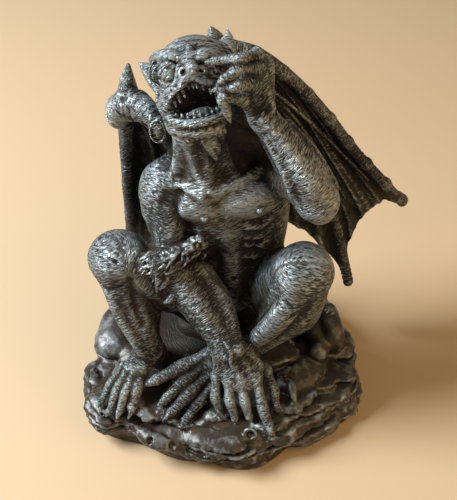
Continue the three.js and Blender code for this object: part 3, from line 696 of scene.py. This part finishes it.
RIGHT_BACK = [(-34, 15, 149, 3.5), (-20, 18, 135, 3.5), (-11, 19, 118, 3.5), (-7, 20, 94, 3),
              (-4, 20, 74, 3)]
ROPE = (2.3, 0.3)


def web_sheet(lead, second, back, low_lead, low_second, low_back, folds):
    """Skin between three bones, with a lower edge that is scalloped between them."""
    bones = [smooth_path(b, 8)[:, :3] for b in (lead, second, back)]
    x0 = min(b[:, 0].min() for b in bones) - 6
    x1 = max(b[:, 0].max() for b in bones) + 6
    cut, x, y, z = block((x0, 8, 28), (x1, 50, 172))
    heights = z.ravel()
    xs = [np.interp(heights, b[::-1, 2], b[::-1, 0]) for b in bones]
    ys = [np.interp(heights, b[::-1, 2], b[::-1, 1]) for b in bones]
    X, Z = np.meshgrid(x.ravel(), heights, indexing="ij")
    mirror = 1 if xs[0].mean() > xs[2].mean() else -1
    over = np.clip((X - xs[1]) * mirror / np.maximum((xs[0] - xs[1]) * mirror, 0.5), 0, 1.3)
    under = np.clip((xs[1] - X) * mirror / np.maximum((xs[1] - xs[2]) * mirror, 0.5), 0, 1.3)
    lead_side = (X - xs[1]) * mirror > 0
    share = np.where(lead_side, over, under)
    far = np.where(lead_side, ys[0], ys[2])
    depth = ys[1] + (far - ys[1]) * np.minimum(share, 1) + 2.2 * np.sin(math.pi * np.minimum(share, 1))
    down = np.clip((165 - Z) / 40, 0, 1)
    ruffle = 0.75 * np.sin(share * folds * 2 * math.pi) + 0.35 * np.sin(share * folds * 4.7 * math.pi)
    depth = depth + down * ruffle
    edge_far = np.where(lead_side, low_lead, low_back)
    edge = low_second + (edge_far - low_second) * share ** np.where(lead_side, 0.45, 0.8)
    edge = edge + np.where(lead_side, 6, 15) * np.sin(math.pi * np.minimum(share, 1)) ** 0.8
    edge = edge + 1.6 * np.abs(np.sin(share * math.pi * 3.5)) * lead_side
    outside = np.maximum((share - 1) * 12, (edge - Z) * 0.6)
    outside = np.maximum(outside, Z - bones[0][0, 2] + 2)
    thick = 0.75 + 0.25 * np.sin(share * folds * 3 * math.pi)
    slab = np.abs(y - depth[:, None, :]) * 0.82 - thick[:, None, :]
    dist = np.maximum(slab, outside[:, None, :]).astype(np.float32)
    press(cut, dist, 1.2)


web_sheet(LEFT_LEADING, LEFT_SECOND, LEFT_BACK, 70, 34, 74, 4)
web_sheet(RIGHT_LEADING, RIGHT_SECOND, RIGHT_BACK, 40, 32, 52, 2)
strand(LEFT_LEADING, 1.6, 5, rings=ROPE)
strand(LEFT_SECOND, 1.4, 5, rings=(2.6, 0.3))
strand(RIGHT_LEADING, 1.6, 5, rings=ROPE)
strand(RIGHT_SECOND, 1.2, 5, rings=(2.6, 0.2))
strand([(9, 17, 116, 6), (6, 23, 142, 5), (1, 22, 166, 5)], 2.5)
strand([(-11, 15, 117, 6), (-24, 17, 134, 4.2), (-36, 15.5, 147, 4.6)], 2)
for t in np.linspace(0.16, 0.96, 8):
    spot = along([p[:3] for p in LEFT_LEADING], t)
    egg(spot, (2.9, 2.8, 2.8), 1.4)
egg((84.5, 44, 70), (2.7, 2.6, 3.4), 1.2)
for bx, by, bz in ((66, 37.5, 88), (56, 34.5, 80), (50, 33, 84)):
    strand([(4, 23, 163, 1), (bx * 0.5 + 4, 31, 126, 0.8), (bx, by, bz, 0.6)], 1)
strand([(0, 21, 168, 4), (-2, 20.5, 173, 3.2), (-3.6, 20, 178, 0.8)], 1.5)
strand([(-35.8, 14, 153, 4.2), (-35.6, 14, 159, 2.9), (-34.8, 14, 165.5, 0.9)], 1.5)
print("wings pressed")

# %% [markdown]
# The right wing's thumb arches over and hangs down beside the head. Its back is ribbed, and a
# broad blunt nail with a raised rim covers its end.

# %% Wing thumb
strand([(-40, 13, 142, 4.5), (-38, 11, 148.5, 5.6), (-33, 8, 151.5, 5.4), (-28, 4.5, 151.5, 4.6),
        (-25, 2, 149.5, 3.6)],
       1.6, 5, rings=(2.7, 0.95))
strand([(-42, 9, 146, 1), (-37.5, 6, 153, 1.1), (-31, 3, 154.6, 1.1), (-25.5, 0.6, 152, 0.8)], 0.8)
egg((-37.5, 9, 155), (2.4, 2.2, 2), 0.9)
egg((-23.9, -0.2, 147.2), (3.5, 2.5, 5.2), 0.8)
nail = [(-23.9 + 2.9 * math.sin(a), -2.2 + 0.5 * math.cos(a), 146.8 + 4.8 * math.cos(a), 0.5)
        for a in np.linspace(0, 2 * math.pi, 13)]
strand(nail, 0.4, 2)
print("thumb pressed")

# %% [markdown]
# ## From clay to mesh
#
# The underside is trimmed flat, the zero surface of the clay is drawn as a mesh, and the mesh is
# thinned. Thinning keeps more faces where the form bends, which is where the wrinkles are.

# %% Skin the clay
TRIM = 0.3
below = GZ < TRIM
CLAY[:, :, below] = np.maximum(CLAY[:, :, below], (TRIM - GZ[below])[None, None, :])
grid = openvdb.FloatGrid(background=BAND)
grid.copyFromArray(CLAY)
points, tris, quads = grid.convertToPolygons(isovalue=0.0, adaptivity=0.0)
del CLAY, grid
spots = [np.interp(points[:, i], np.arange(len(g)), g) for i, g in enumerate((GX, GY, GZ))]
points = np.stack(spots, 1)
tris = np.reshape(tris, (-1, 3)).astype(quads.dtype)
faces = np.concatenate([quads[:, (0, 1, 2)], quads[:, (0, 2, 3)], tris])
print("skin", len(points), "points", len(faces), "faces")


def mesh_from(name, coords, triangles):
    mesh = bpy.data.meshes.new(name)
    mesh.vertices.add(len(coords))
    mesh.vertices.foreach_set("co", coords.astype(np.float32).ravel())
    mesh.loops.add(len(triangles) * 3)
    mesh.loops.foreach_set("vertex_index", triangles.astype(np.int32).ravel())
    mesh.polygons.add(len(triangles))
    mesh.polygons.foreach_set("loop_start", np.arange(0, len(triangles) * 3, 3, dtype=np.int32))
    mesh.update(calc_edges=True)
    return mesh


def drop_crumbs(coords, triangles):
    """Keep only the largest connected body."""
    label = np.arange(len(coords))
    a, b = triangles[:, (0, 1, 2)].ravel(), triangles[:, (1, 2, 0)].ravel()
    for _ in range(400):
        low_label = np.minimum(label[a], label[b])
        new = label.copy()
        np.minimum.at(new, a, low_label)
        np.minimum.at(new, b, low_label)
        new = new[new]
        if (new == label).all():
            break
        label = new
    names, count = np.unique(label[triangles[:, 0]], return_counts=True)
    keep = triangles[label[triangles[:, 0]] == names[count.argmax()]]
    used, renumbered = np.unique(keep, return_inverse=True)
    return coords[used], renumbered.reshape(-1, 3)


points, faces = drop_crumbs(points, faces)
# the rock's worn, slightly dripping surface
low_down = np.clip((38 - points[:, 2]) / 10, 0, 1) * np.clip(points[:, 2] / 3, 0, 1)
ripples = np.zeros(len(points))
RIPPLES = ((11.0, 0.5), (5.0, 0.32), (2.6, 0.16))
for pitch, height in RIPPLES:
    for _ in range(5):
        way = rng.normal(size=3) * (1, 1, 1.5)
        phase = points @ (way / np.linalg.norm(way)) * 2 * math.pi / pitch
        ripples += height / 2 * np.sin(phase + rng.uniform(0, 6))
radius = np.linalg.norm(points[:, :2], axis=1)
from_middle = points[:, :2] / np.maximum(radius, 1)[:, None]
outer = np.clip((radius - 36) / 8, 0, 1) * np.clip((26 - points[:, 2]) / 4, 0, 1)
points[:, :2] += from_middle * (ripples * low_down * outer)[:, None]
MOST_TRIANGLES = 196000
raw = bpy.data.objects.new("raw", mesh_from("raw", points, faces))
bpy.context.collection.objects.link(raw)
thin = raw.modifiers.new("thin", "DECIMATE")
thin.ratio = MOST_TRIANGLES / len(faces)
mesh = bpy.data.meshes.new_from_object(raw.evaluated_get(bpy.context.evaluated_depsgraph_get()))
bpy.data.objects.remove(raw)


def read(items, field, width, kind=np.float32):
    out = np.empty(len(items) * width, kind)
    items.foreach_get(field, out)
    return out.reshape(-1, width) if width > 1 else out


co = read(mesh.vertices, "co", 3)
corners = read(mesh.polygons, "vertices", 3, np.int32)
a, b, c = (co[corners[:, i]] for i in range(3))
if np.einsum("ij,ij->i", a, np.cross(b, c)).sum() < 0:
    mesh.flip_normals()
    print("faces turned outwards")
print("thinned to", len(mesh.polygons), "faces")

# %% [markdown]
# ## Which way the skin is combed
#
# The skin of the real figure is scratched all over with fine lines that run across each limb.
# Every point is given a place along its nearest limb, and a place round it. A noise that changes
# fast along the limb and slowly round it then makes lines in the right direction.

# %% Combing
FLOWS = [
    [(6, 8, 40, 15), (5, 7, 70, 15), (4, 6, 90, 17), (1, 4, 108, 20), (-2, 4, 122, 18)],
    [(-3, 4, 124, 8), (-7, 0, 136, 8), (-9, 0, 148, 9)],
    [(-25, 2, 122, 10), (-26, -1, 98, 8), (-22, -6, 84, 8)],
    [(-22, -8, 82, 9), (-14, -14, 73, 9), (-3, -25, 60, 7), (3, -31, 52, 6), (10, -36, 43, 8)],
    [(22, 8, 122, 10), (31, -6, 126, 9), (37, -22, 127, 9)],
    [(37, -24, 128, 9), (30, -20, 144, 9), (20, -16, 157, 6), (13, -13, 170, 7)],
    [(-6, 4, 47, 15), (-28, -1, 67, 12), (-44, -6, 85, 12)],
    [(-46, -8, 86, 11), (-41, -12, 65, 9), (-33, -20, 45, 6), (-38, -29, 33, 6)],
    [(18, 4, 47, 15), (28, -8, 70, 14), (34, -19, 89, 12)],
    [(34, -22, 88, 12), (29, -20, 68, 11), (19, -19, 48, 8), (8, -19, 37, 7), (-5, -25, 34, 7)],
    [at(-2, 3, -17, 8), at(-1, 4, -6, 13), at(-0.5, 1, 4, 14), at(0, -4, 14, 12)],
    [(-40, 13, 142, 5), (-37, 11, 151, 6), (-30, 6, 155, 6), (-24, 1, 145, 4)],
    [(60, 30, 60, 3), (10, 28, 100, 3)], ]
WEB_FLOW = len(FLOWS) - 1
for digits in (RIGHT_FINGERS, LEFT_FINGERS, RIGHT_TOES, LEFT_TOES):
    FLOWS += [[(*knuckle, r), (*middle, r), (*tip, r)] for knuckle, middle, tip, r in digits]
FLOWS += [LEFT_LEADING, LEFT_SECOND, RIGHT_LEADING, RIGHT_SECOND]


def frames_along(path):
    """A steady pair of side directions for each stretch of a path."""
    side = np.cross(path[1, :3] - path[0, :3], (0.3, 0.9, 0.2))
    out = []
    for p, q in zip(path[:-1, :3], path[1:, :3]):
        way = (q - p) / max(np.linalg.norm(q - p), 1e-6)
        side = side - way * side.dot(way)
        side /= np.linalg.norm(side)
        out.append((side, np.cross(way, side)))
    return out


nearest = np.full(len(co), 1e9, np.float32)
limb_of = np.zeros(len(co), np.int32)
comb = np.zeros((len(co), 3), np.float32)
for number, nodes in enumerate(FLOWS):
    path = smooth_path(nodes, 4)
    run = 31.0 * number
    for (p, q), (side, other) in zip(zip(path[:-1], path[1:]), frames_along(path)):
        axis = q[:3] - p[:3]
        length = max(float(np.linalg.norm(axis)), 1e-4)
        rel = co - p[:3]
        free = rel @ axis / length ** 2
        t = np.clip(free, 0, 1)
        off = rel - t[:, None] * axis
        dist = (np.linalg.norm(off, axis=1) / (p[3] + t * (q[3] - p[3])) - 1) * 6
        near = dist < nearest
        nearest[near] = dist[near]
        limb_of[near] = number
        u, v = off[near] @ side, off[near] @ other
        along_it = run + free[near] * length + 1.1 * np.sin(u * 0.21 + 1.3 * np.sin(v * 0.17))
        round_it = 0.14 + 0.45 / p[3]
        comb[near] = np.stack([along_it, u * round_it + 5 * number, v * round_it], 1)
        run += length
is_rock = ((nearest > 5.0) & (co[:, 2] < 37) | (co[:, 2] < 14)).astype(np.float32)
print("combed", len(FLOWS), "limbs")

# %% [markdown]
# ## Where the silver rubs off, and where light and shade are painted
#
# The figure was painted black, then dragged over with a nearly dry brush of silver. The silver
# catches only on what stands proud. How proud a point is comes from comparing it with the
# average of its neighbours, close by and further out. Light and shade are painted into the same
# mask: more silver as a painted highlight on the chest and the hand, less as painted shade on the
# right upper arm and the left foot, and none in the shaded lap or behind the neck. The silver also
# grows a little towards the top of the figure.

# %% Proud and hollow places
normal = read(mesh.vertices, "normal", 3)
edge = read(mesh.edges, "vertices", 2, np.int32)
degree = np.bincount(edge.ravel(), minlength=len(co)).astype(np.float32)


def spread(values, times):
    for _ in range(times):
        total = np.stack([np.bincount(edge[:, 0], column[edge[:, 1]], len(co))
                          + np.bincount(edge[:, 1], column[edge[:, 0]],
                                        len(co)) for column in values.T], 1)
        values = total / np.maximum(degree, 1)[:, None]
    return values


def proud(times):
    height = np.einsum("ij,ij->i", co - spread(co.astype(np.float64), times), normal)
    return np.clip(height / (2.2 * height.std()), -1, 1)


proud_fine, proud_broad = proud(2), proud(14)
on_wing = (limb_of == WEB_FLOW) | (limb_of >= len(FLOWS) - 4)
sharper = 1 + 0.9 * is_rock
upper = np.clip((co[:, 2] - 95) / 60, 0, 1)
TORSO, NECK, SHOULDER = 0, 1, 4
low_hollow = (co[:, 1] > -17) & (co[:, 2] < 62)
high_hollow = np.isin(limb_of, (TORSO, NECK, SHOULDER, WEB_FLOW)) & (co[:, 2] > 128)
shaded_hollows = low_hollow | high_hollow
# painted light: positive amounts are a painted highlight where the light falls, negative ones are painted
# shade
PAINTED_LIGHT_SPOTS = (  # centre, reach, amount, where it counts
    ((2, -12, 117), 18, 0.26, 1),  # chest
    ((8, -38, 40), 16, 0.22, 1),  # right hand
    ((-25, -2, 104), 14, -0.12, 1),  # right upper arm
    ((-15, -33, 30), 14, -0.34, 1),  # left foot
    ((-16, -3, 32), 17, -1.4, shaded_hollows),  # lap
    ((14, 8, 141), 15, -0.8, shaded_hollows),  # behind the neck
)
painted_light = sum(amount * where * np.exp(-(np.linalg.norm(co - centre, axis=1) / reach) ** 2)
               for centre, reach, amount, where in PAINTED_LIGHT_SPOTS)
rubbed = 0.36 * proud_fine + 0.30 * np.minimum(proud_broad, 0.45)
# the painted highlights and painted shade are added to the real dry-brush wear here
wear_and_painted_light = np.clip(0.5 + rubbed * sharper - 0.2 * on_wing + 0.12 * upper + painted_light, 0, 1)
mesh.vertices.foreach_set("co", (co * UNIT).astype(np.float32).ravel())
SURFACE_DATA = (("comb", "FLOAT_VECTOR", "vector", comb), ("wear_and_painted_light", "FLOAT", "value", wear_and_painted_light),
                ("is_rock", "FLOAT", "value", is_rock))
for name, kind, field, values in SURFACE_DATA:
    store = mesh.attributes.new(name, kind, "POINT").data
    store.foreach_set(field, values.astype(np.float32).ravel())
mesh.polygons.foreach_set("use_smooth", np.ones(len(mesh.polygons), bool))
mesh.update()
figure = bpy.data.objects.new("gargoyle_casting", mesh)
bpy.context.collection.objects.link(figure)
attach(figure, "root")
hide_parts("gargoyle")
print("casting placed")

# %% [markdown]
# ## Resin and paint
#
# One material covers the whole casting: black paint with silver dry-brushed on its high places.
# The black is matt on the creature, satin on the rock and warmer in patches. On the creature
# the silver follows the scratched lines, and on the rock it only catches edges and grit.

# %% Material
paint = bpy.data.materials.new("drybrushed_resin")
paint.use_nodes = True
nodes, links = paint.node_tree.nodes, paint.node_tree.links
shader = nodes["Principled BSDF"]


def node(kind, inputs=None, **settings):
    made = nodes.new(kind)
    for key, value in settings.items():
        setattr(made, key, value)
    for key, value in (inputs or {}).items():
        if isinstance(value, bpy.types.NodeSocket):
            links.new(value, made.inputs[key])
        else:
            made.inputs[key].default_value = value
    return made


def attribute(name, socket="Fac"):
    return node("ShaderNodeAttribute", attribute_name=name).outputs[socket]


def calc(operation, a, b=0.0, c=0.0):
    return node("ShaderNodeMath", {0: a, 1: b, 2: c}, operation=operation).outputs[0]


def ramp(value, low_stop, high_stop):
    return node("ShaderNodeMapRange", {"Value": value, "From Min": low_stop, "From Max": high_stop},
                interpolation_type="SMOOTHSTEP").outputs["Result"]


def tint(share, a, b):
    mixed = node("ShaderNodeMix", {"Factor": share}, data_type="RGBA")
    for index, value in ((6, a), (7, b)):
        if isinstance(value, bpy.types.NodeSocket):
            links.new(value, mixed.inputs[index])
        else:
            mixed.inputs[index].default_value = value
    return mixed.outputs[2]


def blend_value(share, a, b):
    mixed = node("ShaderNodeMix", {"Factor": share, 2: a, 3: b}, data_type="FLOAT")
    return mixed.outputs[0]


combed = attribute("comb", "Vector")
place = node("ShaderNodeTexCoord").outputs["Object"]
rock = attribute("is_rock")


def noise(where, scale, detail, roughness=0.5, distortion=0.0):
    return node("ShaderNodeTexNoise", {"Vector": where, "Scale": scale, "Detail": detail,
                                       "Roughness": roughness,
                                       "Distortion": distortion}).outputs["Fac"]


lines = noise(combed, 2.3, 1.0, distortion=0.3)
hairs = noise(combed, 4.2, 1.0)
grit = noise(place, 260.0, 4.0, 0.6)
patches = noise(place, 45.0, 2.0)
strokes = calc("ADD", calc("MULTIPLY", lines, 0.6), calc("MULTIPLY", hairs, 0.4))
SOFT_GRIT, EVEN = 0.4, 0.46
texture = blend_value(rock, strokes, blend_value(SOFT_GRIT, EVEN, grit))
WEAR_AND_LIGHT_SHARE, PATCH_SHARE, ROCK_DULLER = 0.36, 0.22, 0.10
FIRST_SILVER, FULL_SILVER = 0.49, 0.77
# the wear attribute also holds painted highlight on the chest and hand, and painted shade on the right
# upper arm, the left foot, the lap and behind the neck
catch = calc("ADD", calc("MULTIPLY", calc("SUBTRACT", attribute("wear_and_painted_light"), 0.5), WEAR_AND_LIGHT_SHARE), texture)
catch = calc("ADD", catch, calc("MULTIPLY", calc("SUBTRACT", patches, 0.5), PATCH_SHARE))
catch = calc("SUBTRACT", catch, calc("MULTIPLY", rock, ROCK_DULLER))
silver = ramp(catch, FIRST_SILVER, FULL_SILVER)
BLACK, WARM_BLACK = (0.006, 0.0068, 0.007, 1), (0.020, 0.0145, 0.0085, 1)
SILVER = (0.32, 0.37, 0.395, 1)
warmth = calc("MAXIMUM", ramp(patches, 0.4, 0.7), calc("MULTIPLY", rock, 0.85))
under_paint = tint(warmth, BLACK, WARM_BLACK)
links.new(tint(silver, under_paint, SILVER), shader.inputs["Base Color"])
# creature black, rock black, silver
for socket, matt, satin, metal in (("Roughness", 0.56, 0.38, 0.36),
                                   ("Specular IOR Level", 0.28, 0.5, 0.5)):
    links.new(blend_value(silver, blend_value(rock, matt, satin), metal), shader.inputs[socket])
METAL_SHARE = 0.85
links.new(calc("MULTIPLY", silver, METAL_SHARE), shader.inputs["Metallic"])
SCRATCH_DEPTH = 1.0
bump = node("ShaderNodeBump", {"Height": texture, "Strength": 1.0, "Distance": SCRATCH_DEPTH * UNIT})
links.new(bump.outputs["Normal"], shader.inputs["Normal"])
figure.data.materials.clear()
figure.data.materials.append(paint)
print("painted")

# %% [markdown]
# ## Floor, light and camera
#
# A plain pale floor. One broad window-like light from the upper left, a weaker warm one from
# the right and a faint sky. The camera looks down at forty-five degrees from close by, which
# makes the head look large.

# %% Floor
HALF_FLOOR = 2.0
floor_corners = np.array([(-1, -1, 0), (1, -1, 0), (1, 1, 0), (-1, 1, 0)]) * HALF_FLOOR
floor_mesh = mesh_from("floor", floor_corners, np.array([(0, 1, 2), (0, 2, 3)]))
floor = bpy.data.objects.new("floor", floor_mesh)
bpy.context.collection.objects.link(floor)
FLOOR_GAP = 0.0002
floor.location.z = low[2] - FLOOR_GAP
plaster = bpy.data.materials.new("plaster")
plaster.use_nodes = True
floor_shader = plaster.node_tree.nodes["Principled BSDF"]
floor_shader.inputs["Base Color"].default_value = (0.42, 0.315, 0.20, 1)
floor_shader.inputs["Roughness"].default_value = 0.75
floor.data.materials.append(plaster)


def area_light(name, place_mm, aim_mm, size, power, colour):
    data = bpy.data.lights.new(name, "AREA")
    data.shape = "DISK"
    data.size = size
    data.energy = power
    data.color = colour
    lamp = bpy.data.objects.new(name, data)
    lamp.location = Vector(place_mm) * UNIT
    lamp.rotation_euler = (Vector(aim_mm) * UNIT - lamp.location).to_track_quat("-Z", "Y").to_euler()
    bpy.context.collection.objects.link(lamp)


area_light("window", (-600, -20, 660), (0, 0, 80), 0.45, 18.5, (0.95, 0.99, 1.0))
area_light("fill", (520, -300, 460), (40, 0, 40), 0.9, 4.6, (1.0, 0.64, 0.30))
world = bpy.data.worlds.new("sky")
bpy.context.scene.world = world
world.use_nodes = True
sky = world.node_tree.nodes["Background"]
sky.inputs["Color"].default_value = (1.0, 0.94, 0.84, 1)
sky.inputs["Strength"].default_value = 0.17

lens = bpy.data.cameras.new("camera")
lens.lens = 69.6
lens.sensor_width = 36.0
lens.clip_start = 0.01
camera = bpy.data.objects.new("camera", lens)
CAMERA_PLACE, LOOKING_DOWN = (3.0, -293.1, 374.1), 45
camera.location = Vector(CAMERA_PLACE) * UNIT
camera.rotation_euler = (math.radians(90 - LOOKING_DOWN), 0, 0)
bpy.context.collection.objects.link(camera)
bpy.context.scene.camera = camera
bpy.context.scene.view_settings.view_transform = "Standard"
print("stage set")
